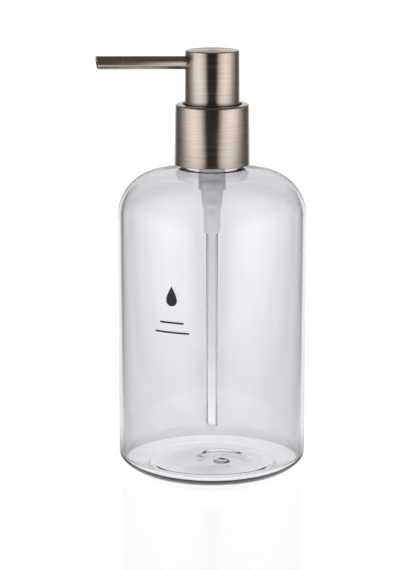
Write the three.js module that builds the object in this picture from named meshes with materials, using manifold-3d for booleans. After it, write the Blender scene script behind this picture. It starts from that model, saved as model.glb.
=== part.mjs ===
// Soap pump dispenser: a clear glass bottle with a brushed metal lotion pump screwed on its neck.
// Millimetres, +Z up. The origin is the centre of the bottle's underside, and the spout points along -X.
// Profiles are lists of [radius, height] points, turned about Z.

import * as THREE from "three";
import { mergeVertices } from "three/addons/utils/BufferGeometryUtils.js";
import Module from "manifold-3d";

const wasm = await Module();
wasm.setup();

// Smoothness of round pieces.
const FINE = 40;
const ROUND = 28;
const THIN = 20;
const SMALL = 12;

// Clearances.
const STACK_GAP = 0.06;
const PRESS_GAP = 0.12;
const TURN_GAP = 0.3;
const SLIDE_GAP = 0.07;
const PISTON_GAP = 0.08;
const END_GAP = 0.1;

// Bottle.
const BOTTLE_RADIUS = 39;
const GLASS_WALL = 2;
const FLOOR_THICKNESS = 3.2;
const HEEL_WIDTH = 15;
const HEEL_HEIGHT = 8;
const INNER_HEEL = 4.5;
const SHOULDER_RADIUS = 18.1;
const SHOULDER_CENTRE_Z = 108.3;
const DECK_SLOPE_DEG = 8;
const NECK_RADIUS = 12.3;
const NECK_BORE = 10.3;
const NECK_FOOT_RADIUS = 14.5;
const NECK_FOOT_RISE = 1.6;
const NECK_ZONE_RADIUS = 16;
const LIP_Z = 138;
const LIP_CHAMFER = 0.5;
const MOUTH_ROUND = 1.8;

// Screw thread: right-handed, six turns to the inch.
const PITCH = 25.4 / 6;
const RIDGE_HEIGHT = 1.1;
const RIDGE_FOOT_HALF = 0.95;
const RIDGE_CREST_HALF = 0.5;
const NECK_THREAD_Z = 132;
const NECK_THREAD = { from: 0, turns: 1.05 };
const CAP_THREAD = { from: 0.2, turns: 0.95 };

// Closure and its metal collar.
const SEAL_THICKNESS = 0.68;
const SEAL_BORE = 9.7;
const SEAL_RADIUS = 13.2;
const FLANGE_THICKNESS = 1;
const FLANGE_RADIUS = 12.9;
const CLOSURE_FOOT_Z = 129.6;
const CLOSURE_WALL_RADIUS = 13.75;
const CLOSURE_DECK = 1;
const SHEET = 0.5;
const COLLAR_FOOT_Z = 129.4;
const COLLAR_TOP_Z = 154.15;
const COLLAR_FOOT_RADIUS = 15.63;
const COLLAR_TOP_RADIUS = 15.2;
const COLLAR_EDGE = 0.9;
const COLLAR_HOLE = 12.2;

// Pump barrel, in three steps that narrow downwards.
const BARREL_FOOT_Z = 100.7;
const STEP_LOW_Z = 110.6;
const STEP_HIGH_Z = 118;
const BARREL_RADIUS = 5.6;
const BARREL_BORE = 4.5;
const BARREL_FLOOR = 1.3;
const SPIGOT_RADIUS = 6.3;
const SPIGOT_HEIGHT = 3.3;
const VENT_RADIUS = 0.5;
const VENT_Z = 134.5;
const DIP_RADIUS = 2.39;
const DIP_BORE = 1.75;
const DIP_FOOT_Z = 18.4;
const DIP_TOP_Z = 106.2;
const DIP_CUT_DEG = 12;

// Inlet valve.
const BALL_RADIUS = 1.6;
const BALL_Z = 108.65;
const BALL_CHAMBER = 2.25;
const THROAT_RADIUS = 1.1;
const THROAT_Z = 107.4;
const RETAINER_RADIUS = 2.95;
const RETAINER_Z = 111.98;
const RETAINER_THICKNESS = 0.87;
const RETAINER_HOLE = 0.8;
const PORT_RADIUS = 0.5;
const PORT_CIRCLE = 1.9;
const PORTS = 3;

// Stem, piston and spring.
const STROKE = 11;
const STEM_RADIUS = 3.2;
const STEM_NECK_RADIUS = 2.3;
const STEM_BORE = 1.6;
const STEM_FOOT_Z = 130.8;
const STEM_SHOULDER_Z = 137.9;
const STEM_TOP_Z = 167.9;
const PISTON_FOOT_Z = 130.6;
const PISTON_TOP_Z = 136.4;
const PISTON_WAIST = 3.7;
const SEAT_RADIUS = 3.3;
const SEAT_FOOT_Z = 129.6;
const SEAT_TOP_Z = 130.54;
const SEAT_STUD_TOP_Z = 135;
const SPRING_RADIUS = 2.5;
const SPRING_WIRE = 0.294;
const SPRING_FOOT_Z = 112.9;
const SPRING_TOP_Z = 129.5;
const SPRING_TURNS = 7;

// Guide cap.
const GUIDE_RADIUS = 7.6;
const GUIDE_TOWER_RADIUS = 5;
const GUIDE_TOP_Z = 150;
const GUIDE_DECK = 1.1;
const GUIDE_SLEEVE_FOOT_Z = 138.5;

// Head and spout.
const HEAD_TOP_Z = 176.1;
const HEAD_FOOT_Z = 152.6;
const HEAD_TOP_RADIUS = 11.13;
const HEAD_FOOT_RADIUS = 11.35;
const HEAD_EDGE = 0.5;
const CORE_RECESS = 0.6;
const CORE_BORE = 9.3;
const CORE_CEILING_Z = 167;
const CORE_CHANNEL = 1.7;
const BOSS_RADIUS = 5.2;
const BOSS_CLEARANCE = 0.6;
const SPOUT_Z = 170.9;
const SPOUT_RISE_DEG = 1.2;
const SPOUT_RADIUS = 2.75;
const SPOUT_BORE = 2.17;
const SPOUT_ROOT = 4.9;
const SPOUT_TIP = 47.6;
const SPOUT_CUT_DEG = 9;
const LINER_RADIUS = 2.1;
const LINER_BORE = 1.45;
const LINER_TIP = 46.2;

const DEG = Math.PI / 180;
const TURN = 2 * Math.PI;

// Heights of the stack on the lip: seal, flange, closure deck.
const SEAL_Z = LIP_Z + STACK_GAP;
const FLANGE_Z = SEAL_Z + SEAL_THICKNESS + STACK_GAP;
const FLANGE_TOP_Z = FLANGE_Z + FLANGE_THICKNESS;
const CLOSURE_DECK_Z = FLANGE_TOP_Z + STACK_GAP;
const CLOSURE_TOP_Z = CLOSURE_DECK_Z + CLOSURE_DECK;
const SPIGOT_TOP_Z = FLANGE_TOP_Z + SPIGOT_HEIGHT;

const BRUSHED_METAL = { color: 0x9c948b, roughness: 0.35, metalness: 1 };
const FROSTED_PLASTIC = { color: 0xc4c8ca, roughness: 0.4, metalness: 0 };
const WHITE_PLASTIC = { color: 0xe6e6e2, roughness: 0.5, metalness: 0 };
const CLEAR_GLASS = { color: 0xe9eeee, roughness: 0.05, metalness: 0 };
const SPRING_STEEL = { color: 0xb4b6b8, roughness: 0.25, metalness: 1 };
const SOFT_SEAL = { color: 0xd8d8d4, roughness: 0.7, metalness: 0 };

// Points of an elliptical arc in a profile, from one angle to another in degrees.
function arc(centreR, centreZ, radiusR, radiusZ, fromDeg, toDeg, steps) {
  const points = [];
  for (let i = 0; i <= steps; i += 1) {
    const angle = (fromDeg + ((toDeg - fromDeg) * i) / steps) * DEG;
    points.push([centreR + radiusR * Math.cos(angle), centreZ + radiusZ * Math.sin(angle)]);
  }
  return points;
}

// Signed volume of an indexed geometry: positive when its faces point outwards.
function signedVolume(positions, index) {
  const [a, b, c] = [new THREE.Vector3(), new THREE.Vector3(), new THREE.Vector3()];
  let total = 0;
  for (let i = 0; i < index.length; i += 3) {
    a.fromArray(positions, index[i] * 3);
    b.fromArray(positions, index[i + 1] * 3);
    c.fromArray(positions, index[i + 2] * 3);
    total += a.dot(b.cross(c)) / 6;
  }
  return total;
}

// A closed geometry as a solid: shared vertices, no triangles of zero area, faces outwards.
function toSolid(geometry) {
  const bare = geometry.clone();
  bare.deleteAttribute("normal");
  bare.deleteAttribute("uv");
  const merged = mergeVertices(bare, 1e-5);
  const positions = merged.attributes.position.array;
  const kept = [];
  const source = merged.index.array;
  for (let i = 0; i < source.length; i += 3) {
    const [a, b, c] = [source[i], source[i + 1], source[i + 2]];
    if (a !== b && b !== c && c !== a) kept.push(a, b, c);
  }
  if (signedVolume(positions, kept) < 0) kept.reverse();
  const mesh = new wasm.Mesh({
    numProp: 3,
    vertProperties: new Float32Array(positions),
    triVerts: new Uint32Array(kept),
  });
  return new wasm.Manifold(mesh);
}

// A solid back as a geometry.
function toGeometry(solid) {
  const mesh = solid.getMesh();
  const geometry = new THREE.BufferGeometry();
  geometry.setAttribute("position", new THREE.BufferAttribute(new Float32Array(mesh.vertProperties), 3));
  geometry.setIndex(new THREE.BufferAttribute(new Uint32Array(mesh.triVerts), 1));
  geometry.computeVertexNormals();
  return geometry;
}

// A profile turned about Z. It either starts and ends on the axis or is closed here.
function turned(profile, segments) {
  const points = profile.map(([radius, z]) => new THREE.Vector2(radius, z));
  const onAxis = profile[0][0] === 0 && profile[profile.length - 1][0] === 0;
  if (!onAxis) points.push(points[0].clone());
  const geometry = new THREE.LatheGeometry(points, segments);
  geometry.rotateX(Math.PI / 2);
  return toSolid(geometry);
}

// A plain round bar along Z.
function bar(radius, fromZ, toZ, segments) {
  return turned([[0, fromZ], [radius, fromZ], [radius, toZ], [0, toZ]], segments);
}

// Moves a bar or tube made along +Z on to the spout's axis: its Z becomes the distance from the stem.
function alongSpout(solid) {
  const turn = new THREE.Matrix4().makeRotationY(-Math.PI / 2 + SPOUT_RISE_DEG * DEG);
  const lift = new THREE.Matrix4().makeTranslation(0, 0, SPOUT_Z);
  return solid.transform(lift.multiply(turn).elements);
}

// A thick slab whose lower face passes through the given height on the axis, tilted about Y.
function tiltedSlab(z, tiltDeg) {
  const size = 60;
  const geometry = new THREE.BoxGeometry(size, size, size);
  geometry.translate(0, 0, size / 2);
  geometry.rotateY(tiltDeg * DEG);
  geometry.translate(0, 0, z);
  return toSolid(geometry);
}

// One helical thread ridge on a wall, standing out or in to the crest radius. It passes the +X side at the
// given height, sinks into the wall at both ends, and its foot lies a little inside the wall to join it.
function threadRidge(wallRadius, crestRadius, zeroZ, { from, turns }) {
  const steps = Math.round(turns * FINE);
  const fadeShare = 0.1;
  const sunk = 0.5;
  const outward = Math.sign(crestRadius - wallRadius);
  const height = Math.abs(crestRadius - wallRadius);
  const section = new THREE.Shape([
    new THREE.Vector2(-sunk, -RIDGE_FOOT_HALF),
    new THREE.Vector2(height, -RIDGE_CREST_HALF),
    new THREE.Vector2(height, RIDGE_CREST_HALF),
    new THREE.Vector2(-sunk, RIDGE_FOOT_HALF),
  ]);
  const ridge = new THREE.ExtrudeGeometry(section, { depth: 1, steps, bevelEnabled: false });
  const place = ridge.attributes.position;
  for (let i = 0; i < place.count; i += 1) {
    const share = place.getZ(i);
    const turn = from + share * turns;
    const angle = turn * TURN;
    const fade = Math.min(1, share / fadeShare, (1 - share) / fadeShare);
    const sinking = place.getX(i) > 0 ? (1 - fade) * (height + sunk / 2) : 0;
    const radius = wallRadius + outward * (place.getX(i) - sinking);
    const z = zeroZ + turn * PITCH + place.getY(i);
    place.setXYZ(i, radius * Math.cos(angle), radius * Math.sin(angle), z);
  }
  return toSolid(ridge);
}

// Where the round shoulder ends and the sloping deck begins, as radius and height, for one of its arcs.
function shoulderEnd(arcRadius) {
  const angle = (90 - DECK_SLOPE_DEG) * DEG;
  const centreR = BOTTLE_RADIUS - SHOULDER_RADIUS;
  return [centreR + arcRadius * Math.cos(angle), SHOULDER_CENTRE_Z + arcRadius * Math.sin(angle)];
}

// Height of the neck's straight wall above its foot fillet.
function neckStartZ() {
  const [edgeR, edgeZ] = shoulderEnd(SHOULDER_RADIUS);
  return edgeZ + (edgeR - NECK_FOOT_RADIUS) * Math.tan(DECK_SLOPE_DEG * DEG) + NECK_FOOT_RISE;
}

// The bottle's outline, from the middle of the underside up the outside.
function bottleOutside() {
  const arcEnd = 90 - DECK_SLOPE_DEG;
  const centreR = BOTTLE_RADIUS - SHOULDER_RADIUS;
  const footWidth = NECK_FOOT_RADIUS - NECK_RADIUS;
  return [
    [0, 0],
    ...arc(BOTTLE_RADIUS - HEEL_WIDTH, HEEL_HEIGHT, HEEL_WIDTH, HEEL_HEIGHT, -90, 0, 7),
    ...arc(centreR, SHOULDER_CENTRE_Z, SHOULDER_RADIUS, SHOULDER_RADIUS, 0, arcEnd, 8),
    ...arc(NECK_FOOT_RADIUS, neckStartZ(), footWidth, NECK_FOOT_RISE, 270, 180, 3),
    [NECK_RADIUS, LIP_Z - LIP_CHAMFER],
    [NECK_RADIUS - LIP_CHAMFER, LIP_Z],
  ];
}

// The bottle's inner wall, from the lip down to the middle of the floor.
function bottleInside() {
  const arcEnd = 90 - DECK_SLOPE_DEG;
  const innerRadius = SHOULDER_RADIUS - GLASS_WALL;
  const centreR = BOTTLE_RADIUS - SHOULDER_RADIUS;
  const [edgeR, edgeZ] = shoulderEnd(innerRadius);
  const mouthR = NECK_BORE + MOUTH_ROUND;
  const mouthZ = edgeZ + (edgeR - mouthR) * Math.tan(DECK_SLOPE_DEG * DEG);
  const wallR = BOTTLE_RADIUS - GLASS_WALL;
  const heelZ = FLOOR_THICKNESS + INNER_HEEL;
  return [
    [NECK_BORE + LIP_CHAMFER, LIP_Z],
    [NECK_BORE, LIP_Z - LIP_CHAMFER],
    ...arc(mouthR, mouthZ + MOUTH_ROUND, MOUTH_ROUND, MOUTH_ROUND, 180, 270, 2),
    ...arc(centreR, SHOULDER_CENTRE_Z, innerRadius, innerRadius, arcEnd, 0, 7),
    ...arc(wallR - INNER_HEEL, heelZ, INNER_HEEL, INNER_HEEL, 0, -90, 4),
    [0, FLOOR_THICKNESS],
  ];
}

// The glass between two heights. The bottle is one piece of glass, kept as four zones that meet face to
// face, so that each zone is a simple shape round the hollow. The neck zone takes the ring of deck round it.
function glassZone(fromZ, toZ) {
  const whole = turned([...bottleOutside(), ...bottleInside()], FINE);
  return whole.trimByPlane([0, 0, 1], fromZ).trimByPlane([0, 0, -1], -toZ);
}

function bottleBase() {
  return glassZone(-1, FLOOR_THICKNESS + INNER_HEEL);
}

function bottleWall() {
  return glassZone(FLOOR_THICKNESS + INNER_HEEL, SHOULDER_CENTRE_Z);
}

function neckZone() {
  return bar(NECK_ZONE_RADIUS, SHOULDER_CENTRE_Z - 1, LIP_Z + 1, FINE);
}

function bottleShoulder() {
  return glassZone(SHOULDER_CENTRE_Z, LIP_Z + 1).subtract(neckZone());
}

function bottleNeck() {
  const ridge = threadRidge(NECK_RADIUS, NECK_RADIUS + RIDGE_HEIGHT, NECK_THREAD_Z, NECK_THREAD);
  return glassZone(SHOULDER_CENTRE_Z, LIP_Z + 1).intersect(neckZone()).add(ridge);
}

function neckGasket() {
  const top = SEAL_Z + SEAL_THICKNESS;
  return turned([[SEAL_BORE, SEAL_Z], [SEAL_RADIUS, SEAL_Z], [SEAL_RADIUS, top], [SEAL_BORE, top]], ROUND);
}

// Outer radius of the collar at a height: it tapers a little towards the top.
function collarRadius(z) {
  const share = (z - COLLAR_FOOT_Z) / (COLLAR_TOP_Z - COLLAR_FOOT_Z);
  return COLLAR_FOOT_RADIUS + (COLLAR_TOP_RADIUS - COLLAR_FOOT_RADIUS) * share;
}

// The plastic cap that screws on the neck. Its ridge runs half a pitch below the neck's.
function screwCap() {
  const fit = SHEET + PRESS_GAP;
  const wall = turned([
    [CLOSURE_WALL_RADIUS, CLOSURE_FOOT_Z],
    [collarRadius(CLOSURE_FOOT_Z) - fit, CLOSURE_FOOT_Z],
    [collarRadius(CLOSURE_TOP_Z) - fit, CLOSURE_TOP_Z],
    [GUIDE_RADIUS + TURN_GAP, CLOSURE_TOP_Z],
    [GUIDE_RADIUS + TURN_GAP, CLOSURE_DECK_Z],
    [CLOSURE_WALL_RADIUS, CLOSURE_DECK_Z],
  ], FINE);
  const zeroZ = NECK_THREAD_Z - PITCH / 2;
  const ridge = threadRidge(CLOSURE_WALL_RADIUS, NECK_RADIUS + TURN_GAP, zeroZ, CAP_THREAD);
  return wall.add(ridge);
}

function collarShell() {
  const top = COLLAR_TOP_RADIUS - COLLAR_EDGE;
  const edgeZ = COLLAR_TOP_Z - COLLAR_EDGE;
  const inner = COLLAR_EDGE - SHEET;
  return turned([
    [COLLAR_FOOT_RADIUS - SHEET, COLLAR_FOOT_Z],
    [COLLAR_FOOT_RADIUS, COLLAR_FOOT_Z],
    ...arc(top, edgeZ, COLLAR_EDGE, COLLAR_EDGE, 0, 90, 4),
    [COLLAR_HOLE, COLLAR_TOP_Z],
    [COLLAR_HOLE, COLLAR_TOP_Z - SHEET],
    ...arc(top, edgeZ, inner, inner, 90, 0, 2),
  ], FINE);
}

// The stepped barrel with its flange and the spigot that the guide cap snaps over.
function pumpBarrel() {
  const wall = 0.92;
  const low = { foot: 3.42, top: 3.55 };
  const middle = { foot: 4, top: 4.65 };
  const chamfer = 0.3;
  const socket = DIP_RADIUS + SLIDE_GAP;
  const chamberTop = STEP_LOW_Z + BARREL_FLOOR;
  const barrel = turned([
    [socket, BARREL_FOOT_Z],
    [low.foot - chamfer, BARREL_FOOT_Z],
    [low.foot, BARREL_FOOT_Z + chamfer],
    [low.top, STEP_LOW_Z],
    [middle.foot - chamfer, STEP_LOW_Z],
    [middle.foot, STEP_LOW_Z + chamfer],
    [middle.top, STEP_HIGH_Z],
    [BARREL_RADIUS - 2 * chamfer, STEP_HIGH_Z],
    [BARREL_RADIUS, STEP_HIGH_Z + 2 * chamfer],
    [BARREL_RADIUS, FLANGE_Z],
    [FLANGE_RADIUS, FLANGE_Z],
    [FLANGE_RADIUS, FLANGE_TOP_Z],
    [SPIGOT_RADIUS, FLANGE_TOP_Z],
    [SPIGOT_RADIUS, SPIGOT_TOP_Z],
    [BARREL_BORE, SPIGOT_TOP_Z],
    [BARREL_BORE, STEP_HIGH_Z + BARREL_FLOOR],
    [middle.top - wall, STEP_HIGH_Z + BARREL_FLOOR],
    [middle.foot - wall, chamberTop],
    [BALL_CHAMBER, chamberTop],
    [BALL_CHAMBER, THROAT_Z + BALL_CHAMBER - THROAT_RADIUS],
    [THROAT_RADIUS, THROAT_Z],
    [THROAT_RADIUS, DIP_TOP_Z + END_GAP],
    [socket, DIP_TOP_Z + END_GAP],
  ], ROUND);
  const vent = bar(VENT_RADIUS, 0, BARREL_RADIUS + 1, SMALL).rotate([0, 90, 0]).translate([0, 0, VENT_Z]);
  return barrel.subtract(vent);
}

// The cap on top of the barrel: a sleeve in the bore stops the piston, and a tower guides the stem.
function guideCap() {
  const guideBore = STEM_RADIUS + SLIDE_GAP;
  const sleeve = BARREL_BORE - PRESS_GAP;
  const skirtBore = SPIGOT_RADIUS + PRESS_GAP;
  const skirtFoot = FLANGE_TOP_Z + TURN_GAP;
  const deckZ = SPIGOT_TOP_Z + PRESS_GAP;
  const chamfer = 0.4;
  return turned([
    [guideBore, GUIDE_SLEEVE_FOOT_Z],
    [sleeve, GUIDE_SLEEVE_FOOT_Z],
    [sleeve, deckZ],
    [skirtBore, deckZ],
    [skirtBore, skirtFoot],
    [GUIDE_RADIUS, skirtFoot],
    [GUIDE_RADIUS, deckZ + GUIDE_DECK - chamfer],
    [GUIDE_RADIUS - chamfer, deckZ + GUIDE_DECK],
    [GUIDE_TOWER_RADIUS, deckZ + GUIDE_DECK],
    [GUIDE_TOWER_RADIUS, GUIDE_TOP_Z - chamfer],
    [GUIDE_TOWER_RADIUS - chamfer, GUIDE_TOP_Z],
    [guideBore, GUIDE_TOP_Z],
  ], ROUND);
}

function pumpStem() {
  const chamfer = 0.4;
  return turned([
    [STEM_BORE, STEM_FOOT_Z],
    [STEM_NECK_RADIUS, STEM_FOOT_Z],
    [STEM_NECK_RADIUS, STEM_SHOULDER_Z],
    [STEM_RADIUS, STEM_SHOULDER_Z + chamfer],
    [STEM_RADIUS, STEM_TOP_Z],
    [STEM_BORE, STEM_TOP_Z],
  ], ROUND);
}

// The piston has a flared lip at each end and a slimmer waist.
function floatingPiston() {
  const bore = STEM_NECK_RADIUS + PISTON_GAP;
  const lip = BARREL_BORE - PISTON_GAP;
  const lipHeight = 0.7;
  const flare = 0.5;
  return turned([
    [bore, PISTON_FOOT_Z],
    [lip, PISTON_FOOT_Z],
    [lip, PISTON_FOOT_Z + lipHeight],
    [PISTON_WAIST, PISTON_FOOT_Z + lipHeight + flare],
    [PISTON_WAIST, PISTON_TOP_Z - lipHeight - flare],
    [lip, PISTON_TOP_Z - lipHeight],
    [lip, PISTON_TOP_Z],
    [bore, PISTON_TOP_Z],
  ], ROUND);
}

// The plug in the stem's foot: a disc that the piston closes on, and a cross-shaped stud that lets soap by.
function pistonSeat() {
  const disc = bar(SEAT_RADIUS, SEAT_FOOT_Z, SEAT_TOP_Z, ROUND);
  const studLength = 2 * (STEM_BORE - END_GAP);
  const ribThickness = 0.7;
  const joinDepth = 0.3;
  const height = SEAT_STUD_TOP_Z - SEAT_TOP_Z + joinDepth;
  let plug = disc;
  for (const [width, depth] of [[studLength, ribThickness], [ribThickness, studLength]]) {
    const rib = new THREE.BoxGeometry(width, depth, height);
    rib.translate(0, 0, SEAT_STUD_TOP_Z - height / 2);
    plug = plug.add(toSolid(rib));
  }
  return plug;
}

// A compression spring's centre line: its first and last turns lie close, the rest are open.
class SpringLine extends THREE.Curve {
  getPoint(share, target = new THREE.Vector3()) {
    const wireTop = SPRING_TOP_Z - SPRING_WIRE;
    const wireFoot = SPRING_FOOT_Z + SPRING_WIRE;
    const closedTurns = 1;
    const closedRise = 2 * SPRING_WIRE + STACK_GAP;
    const turns = share * SPRING_TURNS;
    const openRise = (wireTop - wireFoot - 2 * closedRise) / (SPRING_TURNS - 2 * closedTurns);
    const lower = Math.min(turns, closedTurns);
    const upper = Math.max(0, turns - (SPRING_TURNS - closedTurns));
    const z = wireFoot + (lower + upper) * closedRise + (turns - lower - upper) * openRise;
    const angle = turns * TURN;
    return target.set(SPRING_RADIUS * Math.cos(angle), SPRING_RADIUS * Math.sin(angle), z);
  }
}

function returnSpring() {
  const wire = new THREE.Shape();
  wire.absarc(0, 0, SPRING_WIRE, 0, TURN, false);
  const coil = new THREE.ExtrudeGeometry(wire, {
    extrudePath: new SpringLine(),
    steps: SPRING_TURNS * SMALL,
    curveSegments: 3,
  });
  return toSolid(coil);
}

function inletBall() {
  const ball = new THREE.SphereGeometry(BALL_RADIUS, 16, 10);
  ball.rotateX(Math.PI / 2);
  ball.translate(0, 0, BALL_Z);
  return toSolid(ball);
}

// A disc with a middle hole and a ring of small ports, so that soap passes and the ball does not.
function ballRetainer() {
  const top = RETAINER_Z + RETAINER_THICKNESS;
  let disc = bar(RETAINER_RADIUS, RETAINER_Z, top, ROUND);
  disc = disc.subtract(bar(RETAINER_HOLE, RETAINER_Z - 1, top + 1, SMALL));
  for (let i = 0; i < PORTS; i += 1) {
    const angle = (i * TURN) / PORTS;
    const port = bar(PORT_RADIUS, RETAINER_Z - 1, top + 1, SMALL);
    disc = disc.subtract(port.translate([PORT_CIRCLE * Math.cos(angle), PORT_CIRCLE * Math.sin(angle), 0]));
  }
  return disc;
}

// The dip tube, with its foot cut on a slant.
function dipTube() {
  const tube = turned([
    [DIP_BORE, DIP_FOOT_Z - 1],
    [DIP_RADIUS, DIP_FOOT_Z - 1],
    [DIP_RADIUS, DIP_TOP_Z],
    [DIP_BORE, DIP_TOP_Z],
  ], THIN);
  const cut = tiltedSlab(-DIP_FOOT_Z, -DIP_CUT_DEG).rotate([180, 0, 0]);
  return tube.subtract(cut);
}

// The plastic core of the head: a socket for the stem, then a channel that turns into the spout.
function actuatorCore() {
  const fit = SHEET + PRESS_GAP;
  const top = HEAD_TOP_Z - SHEET - END_GAP;
  const foot = HEAD_FOOT_Z + CORE_RECESS;
  const chamfer = 0.5;
  const bossFoot = GUIDE_TOP_Z + STROKE + BOSS_CLEARANCE;
  const socket = STEM_RADIUS + SLIDE_GAP;
  const body = turned([
    [0, top],
    [HEAD_TOP_RADIUS - fit - chamfer, top],
    [HEAD_TOP_RADIUS - fit, top - chamfer],
    [HEAD_FOOT_RADIUS - fit, foot],
    [CORE_BORE, foot],
    [CORE_BORE, CORE_CEILING_Z],
    [BOSS_RADIUS, CORE_CEILING_Z],
    [BOSS_RADIUS, bossFoot],
    [socket, bossFoot],
    [socket, STEM_TOP_Z + END_GAP],
    [CORE_CHANNEL, STEM_TOP_Z + END_GAP],
    [CORE_CHANNEL, SPOUT_Z],
    [0, SPOUT_Z],
  ], ROUND);
  const spoutSocket = alongSpout(bar(SPOUT_RADIUS + END_GAP, SPOUT_ROOT - END_GAP, SPOUT_TIP, THIN));
  const passage = alongSpout(bar(LINER_BORE, 0, SPOUT_ROOT + 1, THIN));
  return body.subtract(spoutSocket).subtract(passage);
}

function headShell() {
  const top = HEAD_TOP_RADIUS - HEAD_EDGE;
  const innerTopZ = HEAD_TOP_Z - SHEET;
  const shell = turned([
    [0, HEAD_TOP_Z],
    ...arc(top, HEAD_TOP_Z - HEAD_EDGE, HEAD_EDGE, HEAD_EDGE, 90, 0, 3),
    [HEAD_FOOT_RADIUS, HEAD_FOOT_Z],
    [HEAD_FOOT_RADIUS - SHEET, HEAD_FOOT_Z],
    [HEAD_TOP_RADIUS - SHEET, innerTopZ],
    [0, innerTopZ],
  ], FINE);
  return shell.subtract(alongSpout(bar(SPOUT_RADIUS + END_GAP, 1, SPOUT_TIP, THIN)));
}

// A tube along the spout's axis, between two distances from the stem.
function spoutPipe(radius, bore, from, to) {
  return turned([[bore, from], [radius, from], [radius, to], [bore, to]], THIN);
}

// The metal spout: its tip is cut so that the upper side reaches a little further.
function spoutTube() {
  const pipe = spoutPipe(SPOUT_RADIUS, SPOUT_BORE, SPOUT_ROOT, SPOUT_TIP + 2);
  return alongSpout(pipe.subtract(tiltedSlab(SPOUT_TIP, -SPOUT_CUT_DEG)));
}

function spoutLiner() {
  return alongSpout(spoutPipe(LINER_RADIUS, LINER_BORE, SPOUT_ROOT, LINER_TIP));
}

const pieces = [
  ["bottle_base", bottleBase, CLEAR_GLASS],
  ["bottle_wall", bottleWall, CLEAR_GLASS],
  ["bottle_shoulder", bottleShoulder, CLEAR_GLASS],
  ["bottle_neck", bottleNeck, CLEAR_GLASS],
  ["neck_gasket", neckGasket, SOFT_SEAL],
  ["screw_closure", screwCap, WHITE_PLASTIC],
  ["collar_shell", collarShell, BRUSHED_METAL],
  ["pump_housing", pumpBarrel, FROSTED_PLASTIC],
  ["guide_cap", guideCap, WHITE_PLASTIC],
  ["stem", pumpStem, WHITE_PLASTIC],
  ["piston", floatingPiston, FROSTED_PLASTIC],
  ["piston_seat", pistonSeat, WHITE_PLASTIC],
  ["return_spring", returnSpring, SPRING_STEEL],
  ["inlet_ball", inletBall, SPRING_STEEL],
  ["ball_retainer", ballRetainer, WHITE_PLASTIC],
  ["dip_tube", dipTube, FROSTED_PLASTIC],
  ["actuator_core", actuatorCore, WHITE_PLASTIC],
  ["head_shell", headShell, BRUSHED_METAL],
  ["spout_tube", spoutTube, BRUSHED_METAL],
  ["spout_liner", spoutLiner, WHITE_PLASTIC],
];

const dispenser = new THREE.Group();
for (const [name, make, finish] of pieces) {
  const mesh = new THREE.Mesh(toGeometry(make()), new THREE.MeshStandardMaterial(finish));
  mesh.name = name;
  dispenser.add(mesh);
}

export default dispenser;
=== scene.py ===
# %% [markdown]
# # A glass soap dispenser with a brushed metal pump
# The object is a clear glass cylinder with a lotion pump screwed on its neck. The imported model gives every
# piece its place and its motion. This lesson gives each piece its fine surface: nearly all of them are
# turned shapes, so most of the modelling is one outline and one spin.
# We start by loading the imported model, and we keep its box, because nothing may grow past it.

import math

import bmesh
import bpy
from mathutils import Matrix, Vector


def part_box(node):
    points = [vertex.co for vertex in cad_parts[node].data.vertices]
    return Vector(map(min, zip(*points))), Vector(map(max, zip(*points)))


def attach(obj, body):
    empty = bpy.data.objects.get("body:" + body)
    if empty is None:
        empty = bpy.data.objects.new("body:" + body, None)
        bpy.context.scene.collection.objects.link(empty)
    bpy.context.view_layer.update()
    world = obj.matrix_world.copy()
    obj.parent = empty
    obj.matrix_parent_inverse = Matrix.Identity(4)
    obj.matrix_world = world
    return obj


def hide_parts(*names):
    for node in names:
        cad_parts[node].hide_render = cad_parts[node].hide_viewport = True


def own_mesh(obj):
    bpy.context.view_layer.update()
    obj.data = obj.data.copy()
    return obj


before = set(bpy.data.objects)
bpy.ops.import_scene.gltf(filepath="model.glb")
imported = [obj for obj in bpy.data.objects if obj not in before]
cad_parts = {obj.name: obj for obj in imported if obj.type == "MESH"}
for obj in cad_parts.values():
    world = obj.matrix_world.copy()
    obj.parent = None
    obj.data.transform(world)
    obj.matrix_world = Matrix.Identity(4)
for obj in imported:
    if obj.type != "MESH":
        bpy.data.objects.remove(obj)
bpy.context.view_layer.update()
MM = 0.001

# %% [markdown]
# ## The camera
# A long lens from a little above keeps the cylinder's sides nearly upright.
# The camera stands a little to the spout's side of the front, and it looks just left of the bottle's axis
# so that bottle and spout together sit in the middle.

# %% Camera
CAMERA_DISTANCE = 0.840
CAMERA_HEIGHT = 0.263
CAMERA_SIDE = math.radians(-12.5)
CAMERA_PITCH = math.radians(12.4)
CAMERA_YAW = math.radians(0.341)
LENS = 130.5

camera_data = bpy.data.cameras.new("camera")
camera_data.lens = LENS
camera_data.sensor_width = 36
camera = bpy.data.objects.new("camera", camera_data)
bpy.context.scene.collection.objects.link(camera)
camera.location = (
    CAMERA_DISTANCE * math.sin(CAMERA_SIDE),
    -CAMERA_DISTANCE * math.cos(CAMERA_SIDE),
    CAMERA_HEIGHT,
)
look = Vector((-math.sin(CAMERA_SIDE), math.cos(CAMERA_SIDE), 0)) * math.cos(CAMERA_PITCH)
look.z = -math.sin(CAMERA_PITCH)
look.rotate(Matrix.Rotation(CAMERA_YAW, 3, "Z"))
camera.rotation_euler = look.to_track_quat("-Z", "Y").to_euler()
bpy.context.scene.camera = camera
bpy.context.scene.view_settings.view_transform = "Standard"
print("camera at", [round(v, 3) for v in camera.location])

# %% [markdown]
# ## Node helpers
# Every finish is a node tree. Three helpers keep the trees readable: one adds a node and sets its fields,
# one makes a material and hands back its tree and its shader, and one adds a sum.

# %% Node helpers
def add_node(tree, kind, values=None, **fields):
    node = tree.nodes.new(kind)
    for name, value in fields.items():
        setattr(node, name, value)
    for name, value in (values or {}).items():
        node.inputs[name].default_value = value
    return node


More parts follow.
